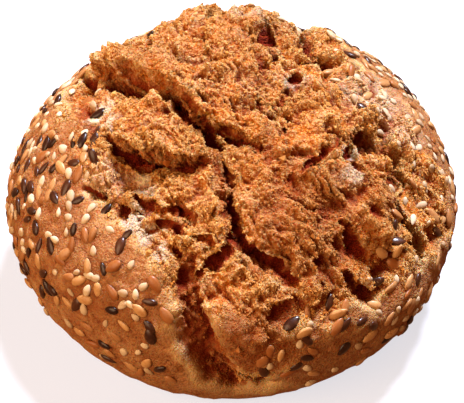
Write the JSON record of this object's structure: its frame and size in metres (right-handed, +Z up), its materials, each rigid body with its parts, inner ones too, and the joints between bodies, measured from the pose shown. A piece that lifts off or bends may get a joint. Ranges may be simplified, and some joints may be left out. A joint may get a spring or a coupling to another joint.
{
  "type": "bread roll",
  "caption": "Round seeded bread roll with a flat base, a smooth browned skin and a craggy top that tore open in baking.",
  "frame": {"origin": "the middle of the flat base, on the surface the roll rests on", "axes": "+Z up out of the torn top, -Y towards the side with the main split, +X to the right of that side"},
  "size_m": [0.1011, 0.101, 0.0596],
  "materials": {
    "crust": "baked wholemeal crust: dry browned skin low down, rough orange-brown torn crumb on top, pale flour on the high edges",
    "hulled_sesame": "hulled sesame seed, ivory and slightly oily",
    "golden_linseed": "golden linseed and toasted sesame, amber and glossy",
    "brown_linseed": "brown linseed, dark and glossy",
    "crumb": "loose toasted crumbs of wholemeal bread"
  },
  "bodies": {
    "root": {"seeded_roll": "crust"}
  },
  "joints": []
}
